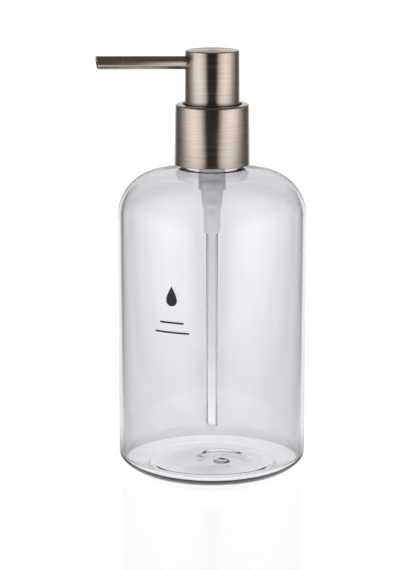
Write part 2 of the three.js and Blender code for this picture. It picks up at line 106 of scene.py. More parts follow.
def new_material(name, values):
    material = bpy.data.materials.new(name)
    material.use_nodes = True
    tree = material.node_tree
    shader = tree.nodes["Principled BSDF"]
    for socket, value in values.items():
        shader.inputs[socket].default_value = value
    return material, tree, shader


def maths(tree, operation, first, second=0.0):
    node = add_node(tree, "ShaderNodeMath", operation=operation)
    for index, value in enumerate((first, second)):
        if isinstance(value, bpy.types.NodeSocket):
            tree.links.new(value, node.inputs[index])
        else:
            node.inputs[index].default_value = value
    return node.outputs["Value"]


# %% [markdown]
# ## Floor and light
# Clear glass and metal show nothing but what is around them, so the light is the most important part.
# A real studio puts a white sweep behind, two tall soft panels at the sides, dark flags behind the panels
# to draw the edges, and a dark gap where the camera stands. Area lamps could do it, but a shader that
# depends only on direction gives the same soft panels with less noise. It is a group, because the floor
# needs it too: a pale glossy table shows the panels again, and most reflections off upright walls end on
# the table. The camera itself sees plain white.

# %% The studio as one node group
PANEL_TURN = math.radians(-1)
PANEL_STEPS = [
    (0, 0.01),
    (20, 0.0),
    (29, 0.42),
    (38, 0.85),
    (60, 1.15),
    (80, 1.00),
    (100, 0.45),
    (120, 0.12),
    (146, 0.08),
    (158, 0.78),
]


def new_group(name, inputs, outputs):
    group = bpy.data.node_groups.new(name, "ShaderNodeTree")
    for socket, value in inputs.items():
        kind = "NodeSocketVector" if value is None else "NodeSocketFloat"
        made = group.interface.new_socket(socket, in_out="INPUT", socket_type=kind)
        if value is not None:
            made.default_value = value
    for socket in outputs:
        group.interface.new_socket(socket, in_out="OUTPUT", socket_type="NodeSocketFloat")
    return group, group.nodes.new("NodeGroupInput"), group.nodes.new("NodeGroupOutput")


def place_group(tree, group, values):
    node = add_node(tree, "ShaderNodeGroup", node_tree=group)
    for name, value in values.items():
        if isinstance(value, bpy.types.NodeSocket):
            tree.links.new(value, node.inputs[name])
        else:
            node.inputs[name].default_value = value
    return node


studio, taken, given = new_group("studio_light", {"Direction": None}, ["Light", "Share"])
front = CAMERA_SIDE + PANEL_TURN
dots = []
for axis in ((math.cos(front), math.sin(front), 0), (math.sin(front), -math.cos(front), 0)):
    dot = add_node(studio, "ShaderNodeVectorMath", operation="DOT_PRODUCT")
    dot.inputs[1].default_value = axis
    studio.links.new(taken.outputs["Direction"], dot.inputs[0])
    dots.append(dot.outputs["Value"])
angle = maths(studio, "ARCTAN2", dots[0], dots[1])
share = maths(studio, "DIVIDE", maths(studio, "ABSOLUTE", angle), math.pi)
ramp = add_node(studio, "ShaderNodeValToRGB")
ramp.color_ramp.interpolation = "EASE"
stops = ramp.color_ramp.elements
while len(stops) < len(PANEL_STEPS):
    stops.new(1.0)
brightest = max(value for _, value in PANEL_STEPS)
for stop, (degrees, value) in zip(stops, PANEL_STEPS):
    stop.position = degrees / 180
    stop.color = (value / brightest,) * 3 + (1,)
studio.links.new(share, ramp.inputs["Fac"])
studio.links.new(maths(studio, "MULTIPLY", ramp.outputs["Color"], brightest), given.inputs["Light"])
studio.links.new(share, given.inputs["Share"])
print("panel steps:", len(PANEL_STEPS))

# %% World
CEILING = 0.10
UPPER_BACK = 0.46
UPPER_BACK_SHARE = (0.5, 0.9)
UPPER_RISE = (0.15, 0.45)
CEILING_RISE = (0.50, 0.80)


def smooth_step(tree, source, low, high):
    limits = {"From Min": low, "From Max": high}
    node = add_node(tree, "ShaderNodeMapRange", limits, interpolation_type="SMOOTHSTEP")
    tree.links.new(source, node.inputs["Value"])
    return node.outputs["Result"]


def blend(tree, factor, first, second):
    node = add_node(tree, "ShaderNodeMix", data_type="FLOAT")
    for name, value in (("Factor", factor), ("A", first), ("B", second)):
        if isinstance(value, bpy.types.NodeSocket):
            tree.links.new(value, node.inputs[name])
        else:
            node.inputs[name].default_value = value
    return node.outputs["Result"]


world = bpy.data.worlds.new("studio")
bpy.context.scene.world = world
world.use_nodes = True
tree = world.node_tree
backdrop = tree.nodes["Background"]
backdrop.inputs["Color"].default_value = (1, 1, 1, 1)
direction = add_node(tree, "ShaderNodeTexCoord").outputs["Generated"]
panels = place_group(tree, studio, {"Direction": direction})
split = add_node(tree, "ShaderNodeSeparateXYZ")
tree.links.new(direction, split.inputs["Vector"])
behind = smooth_step(tree, panels.outputs["Share"], *UPPER_BACK_SHARE)
upper = blend(tree, behind, CEILING, UPPER_BACK)
upper = blend(tree, smooth_step(tree, split.outputs["Z"], *CEILING_RISE), upper, CEILING)
above = smooth_step(tree, split.outputs["Z"], *UPPER_RISE)
room = blend(tree, above, panels.outputs["Light"], upper)
from_camera = add_node(tree, "ShaderNodeLightPath").outputs["Is Camera Ray"]
tree.links.new(blend(tree, from_camera, room, 1.0), backdrop.inputs["Strength"])
print("world made")

# %% [markdown]
# The floor is a pale glossy sheet, lit through like a light table, so it stays white for the camera
# however the panels stand. For every other ray it shows the panels, shaded near the bottle, where the
# bottle stands in their way and a little darker far behind it. It is bright right under the glass and on
# the table just in front, which is what the underside of the spout mirrors. It lies a hair below the
# glass: two skins in one plane would hide each other in patches. Its gloss gives the faint picture of the
# bottle.

# %% Floor
FLOOR_HALF = 12.0
FLOOR_GAP = 0.05 * MM
FLOOR_GLOW = 0.90
UNDER_MIDDLE = (0.012, 0.030)
UNDER_GLOWS = (0.88, 1.08)
UNDER_BOTTLE = (0.038, 0.043)
TABLE_GLOW = 0.50
NEAR_SHADE = (0.06, 0.11)
SHADE = 0.42
TABLE_NEAR = (0.085, 0.12)
TABLE_FAR = (0.19, 0.27)
TABLE_SHARE = (0.30, 0.45)
NEAR_SHARE = (0.55, 0.75)
FAR_BACK = (0.56, 0.72)
FAR_SHARE = (0.80, 0.90)
FAR_LIGHT = 0.78
PATTERN_START = 0.12

floor_material, tree, shader = new_material("pale_floor", {
    "Base Color": (0.03, 0.03, 0.03, 1),
    "Roughness": 0.14,
    "Specular IOR Level": 0.65,
    "Emission Color": (1, 1, 1, 1),
})
place = add_node(tree, "ShaderNodeTexCoord").outputs["Object"]
from_front = add_node(tree, "ShaderNodeVectorMath", operation="SUBTRACT")
pattern_start = (PATTERN_START * math.sin(front), -PATTERN_START * math.cos(front), 0)
from_front.inputs[1].default_value = pattern_start
tree.links.new(place, from_front.inputs[0])
panels = place_group(tree, studio, {"Direction": from_front.outputs["Vector"]})
around = place_group(tree, studio, {"Direction": place})
length = add_node(tree, "ShaderNodeVectorMath", operation="LENGTH")
tree.links.new(place, length.inputs[0])
distance = length.outputs["Value"]
side = around.outputs["Share"]
under = blend(tree, smooth_step(tree, distance, *UNDER_MIDDLE), *UNDER_GLOWS)
under = blend(tree, smooth_step(tree, distance, *UNDER_BOTTLE), under, 0.0)
table = blend(tree, smooth_step(tree, distance, *TABLE_NEAR), 0.0, TABLE_GLOW)
table = blend(tree, smooth_step(tree, distance, *TABLE_FAR), table, 0.0)
table = blend(tree, smooth_step(tree, side, *TABLE_SHARE), table, 0.0)
near = blend(tree, smooth_step(tree, distance, *NEAR_SHADE), SHADE, 1.0)
near = blend(tree, smooth_step(tree, side, *NEAR_SHARE), near, 1.0)
far = blend(tree, smooth_step(tree, distance, *FAR_BACK), 1.0, FAR_LIGHT)
far = blend(tree, smooth_step(tree, side, *FAR_SHARE), 1.0, far)
near = maths(tree, "MULTIPLY", near, far)
panel_light = maths(tree, "MULTIPLY", panels.outputs["Light"], near)
table = maths(tree, "MAXIMUM", maths(tree, "MAXIMUM", under, table), panel_light)
from_camera = add_node(tree, "ShaderNodeLightPath").outputs["Is Camera Ray"]
tree.links.new(blend(tree, from_camera, table, FLOOR_GLOW), shader.inputs["Emission Strength"])
floor_bm = bmesh.new()
bmesh.ops.create_grid(floor_bm, x_segments=1, y_segments=1, size=FLOOR_HALF)
bmesh.ops.translate(floor_bm, verts=floor_bm.verts, vec=(0, 0, -FLOOR_GAP))
floor_mesh = bpy.data.meshes.new("floor")
floor_bm.to_mesh(floor_mesh)
floor_bm.free()
floor_mesh.materials.append(floor_material)
floor = bpy.data.objects.new("floor", floor_mesh)
bpy.context.scene.collection.objects.link(floor)
print("floor", 2 * FLOOR_HALF, "m wide")

# %% [markdown]
# ## Effects that several finishes share
# Turned and polished metal carries fine lines that run round its axis. Adding the height to the distance
# from the axis gives one number that is constant along each line, on the wall and on the flat top alike,
# so noise that is stretched along that number draws the brushing on both. The other group is a slow,
# uneven haze for handling marks, and the fine grain that a mould leaves.

# %% Shared groups
FINER = 3.5

brushing, taken, given = new_group(
    "turned_brushing",
    {"Place": None, "Lines per mm": 3.0, "Streak length mm": 9.0},
    ["Lines", "Fine lines"],
)
split = add_node(brushing, "ShaderNodeSeparateXYZ")
brushing.links.new(taken.outputs["Place"], split.inputs["Vector"])
squares = [maths(brushing, "MULTIPLY", split.outputs[axis], split.outputs[axis]) for axis in "XY"]
radius = maths(brushing, "SQRT", maths(brushing, "ADD", *squares))
along = maths(brushing, "ADD", radius, split.outputs["Z"])
per_streak = maths(brushing, "DIVIDE", 1 / MM, taken.outputs["Streak length mm"])
for output, finer in (("Lines", 1.0), ("Fine lines", FINER)):
    density = maths(brushing, "MULTIPLY", taken.outputs["Lines per mm"], finer / MM)
    stretched = add_node(brushing, "ShaderNodeCombineXYZ")
    for axis, source in (("X", split.outputs["X"]), ("Y", split.outputs["Y"])):
        brushing.links.new(maths(brushing, "MULTIPLY", source, per_streak), stretched.inputs[axis])
    brushing.links.new(maths(brushing, "MULTIPLY", along, density), stretched.inputs["Z"])
    noise = add_node(brushing, "ShaderNodeTexNoise", {"Scale": 1.0, "Detail": 2.0, "Roughness": 0.6})
    brushing.links.new(stretched.outputs["Vector"], noise.inputs["Vector"])
    brushing.links.new(noise.outputs["Fac"], given.inputs[output])

haze, taken, given = new_group(
    "haze_and_grain", {"Haze per m": 60.0, "Grain per m": 2500.0}, ["Haze", "Grain"]
)
for output, source in (("Haze", "Haze per m"), ("Grain", "Grain per m")):
    noise = add_node(haze, "ShaderNodeTexNoise", {"Detail": 3.0, "Roughness": 0.55})
    haze.links.new(add_node(haze, "ShaderNodeTexCoord").outputs["Object"], noise.inputs["Vector"])
    haze.links.new(taken.outputs[source], noise.inputs["Scale"])
    haze.links.new(noise.outputs["Fac"], given.inputs[output])
print("groups:", [group.name for group in bpy.data.node_groups])

# %% [markdown]
# ## Finishes
# The metal is nickel plate, brushed on a lathe: warm grey, with lines that change its gloss and stand up a
# few thousandths of a millimetre. Its anisotropy is a plain number on the shader, because the brushing
# runs the same way everywhere.

# %% Brushed metal
METAL_LIGHT = (0.65, 0.565, 0.49, 1)
METAL_DARK = (0.51, 0.44, 0.38, 1)
METAL_ROUGHNESS = (0.17, 0.25)
METAL_HAZE = 0.04
COARSE_SHARE = 0.65
FINE_SHARE = 0.35


def range_of(tree, source, low, high, from_low=0.3, from_high=0.7):
    node = add_node(tree, "ShaderNodeMapRange", {
        "From Min": from_low, "From Max": from_high, "To Min": low, "To Max": high,
    })
    tree.links.new(source, node.inputs["Value"])
    return node.outputs["Result"]


def mix_colours(tree, factor, first, second):
    node = add_node(tree, "ShaderNodeMix", data_type="RGBA")
    tree.links.new(factor, node.inputs["Factor"])
    node.inputs[6].default_value = first
    node.inputs[7].default_value = second
    return node.outputs[2]


def bump(tree, height, distance_mm, strength, shader):
    node = add_node(tree, "ShaderNodeBump", {"Strength": strength, "Distance": distance_mm * MM})
    tree.links.new(height, node.inputs["Height"])
    tree.links.new(node.outputs["Normal"], shader.inputs["Normal"])


def brushed_metal(name, axis="Z", turn_to_axis=None):
    material, tree, shader = new_material(name, {
        "Metallic": 1.0, "Anisotropic": 0.85, "Anisotropic Rotation": 0.25,
    })
    place = add_node(tree, "ShaderNodeTexCoord").outputs["Object"]
    if turn_to_axis is not None:
        mapping = add_node(tree, "ShaderNodeMapping")
        mapping.inputs["Location"].default_value = turn_to_axis.translation
        mapping.inputs["Rotation"].default_value = turn_to_axis.to_euler()
        tree.links.new(place, mapping.inputs["Vector"])
        place = mapping.outputs["Vector"]
    lines = place_group(tree, brushing, {"Place": place, "Lines per mm": 1.6, "Streak length mm": 22.0})
    marks = place_group(tree, haze, {"Haze per m": 90.0})
    both = maths(tree, "ADD", maths(tree, "MULTIPLY", lines.outputs["Lines"], COARSE_SHARE),
                 maths(tree, "MULTIPLY", lines.outputs["Fine lines"], FINE_SHARE))
    colour = mix_colours(tree, range_of(tree, both, 0, 1), METAL_DARK, METAL_LIGHT)
    tree.links.new(colour, shader.inputs["Base Color"])
    rough = maths(tree, "ADD", range_of(tree, both, *METAL_ROUGHNESS),
                  range_of(tree, marks.outputs["Haze"], 0.0, METAL_HAZE))
    tree.links.new(rough, shader.inputs["Roughness"])
    bump(tree, both, 0.002, 0.40, shader)
    tangent = add_node(tree, "ShaderNodeTangent", direction_type="RADIAL", axis=axis)
    tree.links.new(tangent.outputs["Tangent"], shader.inputs["Tangent"])
    return material


turned_metal = brushed_metal("brushed_metal")
print("made", turned_metal.name)

# %% [markdown]
# The bottle is clear glass. Real glass is all in the geometry: an outer and an inner skin about two
# millimetres apart, so the edges darken by themselves. The finish only adds a trace of waviness, and a
# hint of grey in the colour.

# %% Glass
GLASS_DARK = (0.885, 0.885, 0.905, 1)
GLASS_LIGHT = (0.905, 0.905, 0.925, 1)

clear_glass, tree, shader = new_material("clear_glass", {
    "Base Color": (0.975, 0.98, 0.985, 1),
    "Roughness": 0.0,
    "IOR": 1.47,
    "Transmission Weight": 1.0,
})
wave = place_group(tree, haze, {"Haze per m": 45.0})
bump(tree, wave.outputs["Haze"], 0.05, 0.12, shader)
tint = mix_colours(tree, range_of(tree, wave.outputs["Haze"], 0, 1), GLASS_DARK, GLASS_LIGHT)
tree.links.new(tint, shader.inputs["Base Color"])
print("made", clear_glass.name)

# %% [markdown]
# The barrel and the dip tube are natural polyethylene: milky, half clear, and soft in gloss. The closure,
# the guide and the parts inside are the same kind of plastic with white in it. One function makes them all,
# with the share of light let through as its main value. The light that milky plastic gathers through the
# bottle is slow to trace, so a weak glow, less under the collar, stands in for it.

# %% Plastics, steel, seal and ink
GLOW_FADE = (0.100, 0.128)
GLOW_UNDER_COLLAR = 0.3
STEEL_DARK = (0.52, 0.53, 0.54, 1)
STEEL_LIGHT = (0.66, 0.67, 0.68, 1)


def moulded(name, dark, light, clear, roughness, scatter=0.0, ior=1.45, glow=0.0):
    values = {"Transmission Weight": clear, "IOR": ior, "Subsurface Weight": scatter,
              "Subsurface Scale": 0.001, "Emission Strength": glow}
    material, tree, shader = new_material(name, values)
    marks = place_group(tree, haze, {"Haze per m": 140.0, "Grain per m": 3000.0})
    cloud = range_of(tree, marks.outputs["Haze"], 0, 1)
    tree.links.new(mix_colours(tree, cloud, dark, light), shader.inputs["Base Color"])
    if glow:
        height = add_node(tree, "ShaderNodeSeparateXYZ")
        place = add_node(tree, "ShaderNodeTexCoord").outputs["Object"]
        tree.links.new(place, height.inputs["Vector"])
        shade = range_of(tree, height.outputs["Z"], 1.0, GLOW_UNDER_COLLAR, *GLOW_FADE)
        glow_colour = mix_colours(tree, shade, (0, 0, 0, 1), light)
        tree.links.new(glow_colour, shader.inputs["Emission Color"])
    rough = range_of(tree, marks.outputs["Grain"], roughness - 0.05, roughness + 0.07)
    tree.links.new(rough, shader.inputs["Roughness"])
    bump(tree, marks.outputs["Grain"], 0.01, 0.25, shader)
    return material


frosted_barrel = moulded(
    "frosted_barrel", (0.94, 0.94, 0.965, 1), (0.97, 0.97, 0.99, 1),
    clear=0.65, roughness=0.46, ior=1.36, glow=0.20,
)
frosted_tube = moulded(
    "frosted_tube", (0.98, 0.98, 0.985, 1), (1.0, 1.0, 1.0, 1),
    clear=1.0, roughness=0.14, ior=1.25, glow=0.004,
)
white_plastic = moulded(
    "white_plastic", (0.76, 0.76, 0.74, 1), (0.84, 0.84, 0.82, 1),
    clear=0.0, roughness=0.42, scatter=0.15,
)
soft_seal = moulded(
    "soft_seal", (0.66, 0.66, 0.64, 1), (0.72, 0.72, 0.70, 1), clear=0.0, roughness=0.65
)
print_ink = moulded(
    "print_ink", (0.030, 0.030, 0.034, 1), (0.060, 0.060, 0.064, 1), clear=0.0, roughness=0.5
)

spring_steel, tree, shader = new_material("spring_steel", {"Metallic": 1.0})
marks = place_group(tree, haze, {"Haze per m": 600.0, "Grain per m": 5000.0})
steel = mix_colours(tree, range_of(tree, marks.outputs["Haze"], 0, 1), STEEL_DARK, STEEL_LIGHT)
tree.links.new(steel, shader.inputs["Base Color"])
tree.links.new(range_of(tree, marks.outputs["Grain"], 0.16, 0.26), shader.inputs["Roughness"])
print("materials:", len(bpy.data.materials))

# %% [markdown]
# ## Turning a shape
# Nearly every piece here was made on a lathe, spun on a mandrel or moulded in a round cavity. So the tool
# is the same for all: a closed outline of radius and height, spun a full turn about the axis. The spin
# merges its last ring with its first, points on the axis are merged into one, and the faces are turned
# outwards. Where an outline has a hard corner, a small bevel afterwards breaks the edge, as a real tool or
# mould would.

# %% Turning helpers
MERGE = 0.0005


def arc(centre_r, centre_z, radius_r, radius_z, start, end, steps):
    points = []
    for step in range(steps + 1):
        turn = math.radians(start + (end - start) * step / steps)
        points.append((centre_r + radius_r * math.cos(turn), centre_z + radius_z * math.sin(turn)))
    return points


def turned_mesh(outline, steps):
    bm = bmesh.new()
    ring = [bm.verts.new((radius * MM, 0, z * MM)) for radius, z in outline]
    on_axis = outline[0][0] == 0 and outline[-1][0] == 0
    pairs = list(zip(ring, ring[1:])) + ([] if on_axis else [(ring[-1], ring[0])])
    edges = [bm.edges.new(pair) for pair in pairs]
    bmesh.ops.spin(bm, geom=ring + edges, cent=(0, 0, 0), axis=(0, 0, 1), angle=2 * math.pi,
                   steps=steps, use_merge=True, use_duplicate=False)
    bmesh.ops.remove_doubles(bm, verts=bm.verts, dist=MERGE * MM)
    bmesh.ops.dissolve_degenerate(bm, edges=bm.edges, dist=MERGE * MM)
    bmesh.ops.recalc_face_normals(bm, faces=bm.faces)
    return bm


def break_edges(bm, width_mm, segments=2, sharper_than=40):
    hard = [edge for edge in bm.edges
            if len(edge.link_faces) == 2 and edge.calc_face_angle() > math.radians(sharper_than)]
    bmesh.ops.bevel(bm, geom=hard, offset=width_mm * MM, offset_type="OFFSET", segments=segments,
                    profile=0.5, affect="EDGES", material=-1, clamp_overlap=True)


def finished(bm, name, material, body, nodes, smooth_below=35):
    mesh = bpy.data.meshes.new(name)
    bm.to_mesh(mesh)
    bm.free()
    mesh.shade_smooth()
    mesh.set_sharp_from_angle(angle=math.radians(smooth_below))
    mesh.materials.append(material)
    piece = bpy.data.objects.new(name, mesh)
    bpy.context.scene.collection.objects.link(piece)
    if nodes:
        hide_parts(*nodes)
    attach(piece, body)
    print(name, "has", len(mesh.polygons), "faces and rides on", body)
    return piece


def node_box(node):
    low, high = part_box(node)
    return low / MM, high / MM


# %% [markdown]
# ## The screw thread
# The neck and the closure share a right-handed thread of six turns to the inch. A separate helix could be
# joined with a boolean, but here the rows of the turned wall are simply pushed out or in where the helix
# passes, which keeps one clean skin of quads. The ridge fades at both ends, as a moulded thread does.

# %% Thread helper
PITCH = 25.4 / 6
RIDGE_FOOT = 0.95
RIDGE_CREST = 0.5
RIDGE_HEIGHT = 1.1
FADE_SHARE = 0.1
ON_WALL = 0.05


def raise_thread(bm, wall, height, zero_z, first_turn, turns):
    for vert in bm.verts:
        radius = math.hypot(vert.co.x, vert.co.y) / MM
        if abs(radius - wall) > ON_WALL:
            continue
        part_turn = math.atan2(vert.co.y, vert.co.x) / (2 * math.pi) % 1.0
        lift = 0.0
        for turn in (part_turn, part_turn + 1, part_turn + 2):
            done = (turn - first_turn) / turns
            if 0 < done < 1:
                away = abs(vert.co.z / MM - zero_z - turn * PITCH)
                rise = min(1.0, max(0.0, (RIDGE_FOOT - away) / (RIDGE_FOOT - RIDGE_CREST)))
                lift = max(lift, rise * min(1.0, done / FADE_SHARE, (1 - done) / FADE_SHARE))
        scale = (radius + lift * height) / radius
        vert.co.x *= scale
        vert.co.y *= scale


def rows(radius, start, end, step):
    count = max(1, round(abs(end - start) / step))
    return [(radius, start + (end - start) * index / count) for index in range(count + 1)]


# %% [markdown]
# ## The glass bottle
# The outline runs from the middle of the underside, round a wide soft heel, up the wall, over the shoulder
# to the threaded neck, and back down the inside. The floor inside isn't flat in a real bottle: the glass
# gathers in rings as it cools, with a small swirl where the gob was cut. These stand up to a millimetre,
# so the floor gets close rows of points, and a loop lifts them. The heel inside is wide as well, which
# keeps the glass even there.

# %% Bottle outline
GLASS_NODES = ["bottle_base", "bottle_wall", "bottle_shoulder", "bottle_neck"]
BOTTLE_RADIUS = node_box("bottle_wall")[1].x
LIP_Z = node_box("bottle_neck")[1].z
GLASS_WALL = 2.0
DECK_GLASS = 1.2
HEEL_WIDTH = 15.0
HEEL_HEIGHT = 8.0
FLOOR_THICKNESS = 3.2
INNER_HEEL = 10.0
INNER_HEEL_RISE = 5.0
SHOULDER = 18.1
SHOULDER_Z = 108.3
DECK_SLOPE = 8.0
NECK_RADIUS = 12.3
NECK_BORE = 10.3
NECK_FOOT = 14.5
NECK_FOOT_RISE = 1.6
LIP_ROUND = 0.5
MOUTH_ROUND = 1.3
NECK_THREAD_Z = 132.0
NECK_THREAD_TURNS = 1.05
FLOOR_STEP = 0.7

shoulder_r = BOTTLE_RADIUS - SHOULDER
wall_r = BOTTLE_RADIUS - GLASS_WALL
inner_shoulder = SHOULDER - GLASS_WALL
inner_rise = SHOULDER - DECK_GLASS
slope = math.tan(math.radians(DECK_SLOPE))
outer_arc = arc(shoulder_r, SHOULDER_Z, SHOULDER, SHOULDER, 0, 90 - DECK_SLOPE, 28)
foot_z = outer_arc[-1][1] + (outer_arc[-1][0] - NECK_FOOT) * slope
foot_width = NECK_FOOT - NECK_RADIUS
neck_foot = arc(NECK_FOOT, foot_z + NECK_FOOT_RISE, foot_width, NECK_FOOT_RISE, 270, 180, 8)
inner_arc = arc(shoulder_r, SHOULDER_Z, inner_shoulder, inner_rise, 90 - DECK_SLOPE, 0, 28)
mouth_z = inner_arc[0][1] + (inner_arc[0][0] - NECK_BORE - MOUTH_ROUND) * slope
floor_r = wall_r - INNER_HEEL
inner_heel_z = FLOOR_THICKNESS + INNER_HEEL_RISE
floor_rows = [(floor_r - FLOOR_STEP * index, FLOOR_THICKNESS)
              for index in range(1, int(floor_r / FLOOR_STEP))]
bottle_outline = (
    [(0, 0), (8, 0), (16, 0)]
    + arc(BOTTLE_RADIUS - HEEL_WIDTH, HEEL_HEIGHT, HEEL_WIDTH, HEEL_HEIGHT, -90, 0, 28)
    + rows(BOTTLE_RADIUS, HEEL_HEIGHT, SHOULDER_Z, 10)[1:-1]
    + outer_arc
    + neck_foot
    + rows(NECK_RADIUS, neck_foot[-1][1], LIP_Z - LIP_ROUND, 0.22)[1:-1]
    + arc(NECK_RADIUS - LIP_ROUND, LIP_Z - LIP_ROUND, LIP_ROUND, LIP_ROUND, 0, 90, 5)
    + arc(NECK_BORE + LIP_ROUND, LIP_Z - LIP_ROUND, LIP_ROUND, LIP_ROUND, 90, 180, 5)
    + arc(NECK_BORE + MOUTH_ROUND, mouth_z + MOUTH_ROUND, MOUTH_ROUND, MOUTH_ROUND, 180, 270, 8)
    + inner_arc
    + rows(wall_r, SHOULDER_Z, inner_heel_z, 10)[1:-1]
    + arc(floor_r, inner_heel_z, INNER_HEEL, INNER_HEEL_RISE, 0, -90, 20)
    + floor_rows
    + [(0, FLOOR_THICKNESS)]
)
print("the bottle's outline has", len(bottle_outline), "points")

# %% Floor relief and bottle
RING_HEIGHT, RING_RADIUS, RING_WIDTH = 0.24, 25, 0.9
DOME_HEIGHT, DOME_WIDTH = 0.45, 15
SWIRL_HEIGHT, SWIRL_RADIUS, SWIRL_WIDTH = 0.95, 16, 1.5
SWIRL_CLOSING = 12
NUB_HEIGHT, NUB_RADIUS, NUB_WIDTH = 0.55, 2.4, 0.7
NUB_ANGLE = math.radians(-60)
NUB_DISTANCE = 6.0


def swell(height, away, width):
    return height * math.exp(-(away / width) ** 2)


def floor_relief(x, y):
    radius = math.hypot(x, y)
    turn = (math.atan2(y, x) - CAMERA_SIDE) / math.pi % 2.0
    fade = math.sin(math.pi * turn) if turn < 1 else 0.0
    nub_x = NUB_DISTANCE * math.cos(NUB_ANGLE)
    nub_y = NUB_DISTANCE * math.sin(NUB_ANGLE)
    ring = swell(RING_HEIGHT, radius - RING_RADIUS, RING_WIDTH)
    dome = swell(DOME_HEIGHT, radius, DOME_WIDTH)
    swirl = swell(SWIRL_HEIGHT, radius - SWIRL_RADIUS + SWIRL_CLOSING * turn, SWIRL_WIDTH) * fade
    nub = swell(NUB_HEIGHT, math.hypot(x - nub_x, y - nub_y) - NUB_RADIUS, NUB_WIDTH)
    return ring + dome + swirl + nub


bm = turned_mesh(bottle_outline, 160)
raise_thread(bm, NECK_RADIUS, RIDGE_HEIGHT, NECK_THREAD_Z, 0.0, NECK_THREAD_TURNS)
for vert in bm.verts:
    if abs(vert.co.z / MM - FLOOR_THICKNESS) < 0.01:
        vert.co.z += floor_relief(vert.co.x / MM, vert.co.y / MM) * MM
finished(bm, "bottle", clear_glass, "bottle", GLASS_NODES, smooth_below=60)

# %% [markdown]
# ## The print
# The glass carries a small grey print, a plain drop over two short rules. It starts flat: a circle
# pinched towards its top for the drop, and two stretched grids. Cuts every half millimetre let it bend
# round the glass without sinking into it, and a thin solid gives the ink its thickness.

# %% Print
PRINT_SIDE = math.radians(-37)
DROP_Z = 81.5
DROP_RADIUS = 3.3
DROP_PINCH = 1.4
DROP_STRETCH = 1.25
RULES = [(70.6, 10.5), (66.6, 15.0)]
RULE_HEIGHT = 0.75
INK_LIFT = 0.01
INK_THICKNESS = 0.04
BEND_STEP = 0.5

bm = bmesh.new()
drop = bmesh.ops.create_circle(bm, cap_ends=True, radius=DROP_RADIUS, segments=72)["verts"]
for vert in drop:
    turn = math.atan2(vert.co.x, vert.co.y)
    vert.co.x *= abs(math.sin(turn / 2)) ** DROP_PINCH
    vert.co.y *= DROP_STRETCH
bmesh.ops.translate(bm, verts=drop, vec=(0, DROP_Z, 0))
for z, width in RULES:
    rule = bmesh.ops.create_grid(bm, x_segments=1, y_segments=1, size=0.5)["verts"]
    bmesh.ops.scale(bm, verts=rule, vec=(width, RULE_HEIGHT, 1))
    bmesh.ops.translate(bm, verts=rule, vec=(0, z, 0))
half_width = max(width for _, width in RULES) / 2
cut = -half_width
while cut < half_width:
    everything = bm.verts[:] + bm.edges[:] + bm.faces[:]
    bmesh.ops.bisect_plane(bm, geom=everything, plane_co=(cut, 0, 0), plane_no=(1, 0, 0))
    cut += BEND_STEP
for vert in bm.verts:
    side = PRINT_SIDE + vert.co.x / BOTTLE_RADIUS
    radius = (BOTTLE_RADIUS + INK_LIFT) * MM
    vert.co = (radius * math.sin(side), -radius * math.cos(side), vert.co.y * MM)
bmesh.ops.recalc_face_normals(bm, faces=bm.faces)
middle = Vector((math.sin(PRINT_SIDE), -math.cos(PRINT_SIDE), 0))
inward = [face for face in bm.faces if face.normal.dot(middle) < 0]
bmesh.ops.reverse_faces(bm, faces=inward)
bmesh.ops.solidify(bm, geom=bm.faces[:], thickness=-INK_THICKNESS * MM)
bmesh.ops.recalc_face_normals(bm, faces=bm.faces)
finished(bm, "print_mark", print_ink, "bottle", [])

# %% [markdown]
# ## The metal shells
# Collar and head are deep-drawn sheet, half a millimetre thick, with rolled edges. Each is one closed
# outline of the sheet itself. The collar tapers a little towards its top and turns in to a flat ring with a
# hole for the head.

# %% Collar
SHEET = 0.5
collar_low, collar_high = node_box("collar_shell")
COLLAR_TOP = 15.2
COLLAR_EDGE = 0.9
COLLAR_HOLE = 12.2

edge_z = collar_high.z - COLLAR_EDGE
collar_outline = (
    [(collar_high.x - SHEET, collar_low.z), (collar_high.x, collar_low.z)]
    + arc(COLLAR_TOP - COLLAR_EDGE, edge_z, COLLAR_EDGE, COLLAR_EDGE, 0, 90, 10)
    + [(COLLAR_HOLE, collar_high.z), (COLLAR_HOLE, collar_high.z - SHEET)]
    + arc(COLLAR_TOP - COLLAR_EDGE, edge_z, COLLAR_EDGE - SHEET, COLLAR_EDGE - SHEET, 90, 0, 6)
)
bm = turned_mesh(collar_outline, 160)
break_edges(bm, 0.12, segments=3, sharper_than=60)
finished(bm, "collar", turned_metal, "closure", ["collar_shell"])

# %% [markdown]
# The head is the same kind of cup, closed at the top, with a hole in its side for the spout. The hole is
# cut with a boolean, the plain way to pierce a curved wall, and the modifier is applied so that the mesh
# is final. The spout rises a little towards its tip, so the cutter does too.

# %% Head
head_low, head_high = node_box("head_shell")
spout_low, spout_high = node_box("spout_tube")
HEAD_TOP = 11.13
HEAD_EDGE = 0.5
SPOUT_RISE = math.radians(1.2)
SPOUT_ROOT = 4.9
SPOUT_RADIUS = spout_high.y
SPOUT_TIP = 47.6
HOLE_RADIUS = SPOUT_RADIUS + 0.1
HOLE_START = 1
HOLE_END = 20

spout_z = spout_low.z + SPOUT_RADIUS * math.cos(SPOUT_RISE) - SPOUT_ROOT * math.sin(SPOUT_RISE)
spout_lean = Matrix.Rotation(-math.pi / 2 + SPOUT_RISE, 4, "Y")
spout_place = Matrix.Translation((0, 0, spout_z * MM)) @ spout_lean


def apply_modifiers(piece):
    graph = bpy.context.evaluated_depsgraph_get()
    result = bpy.data.meshes.new_from_object(piece.evaluated_get(graph))
    piece.modifiers.clear()
    piece.data = result


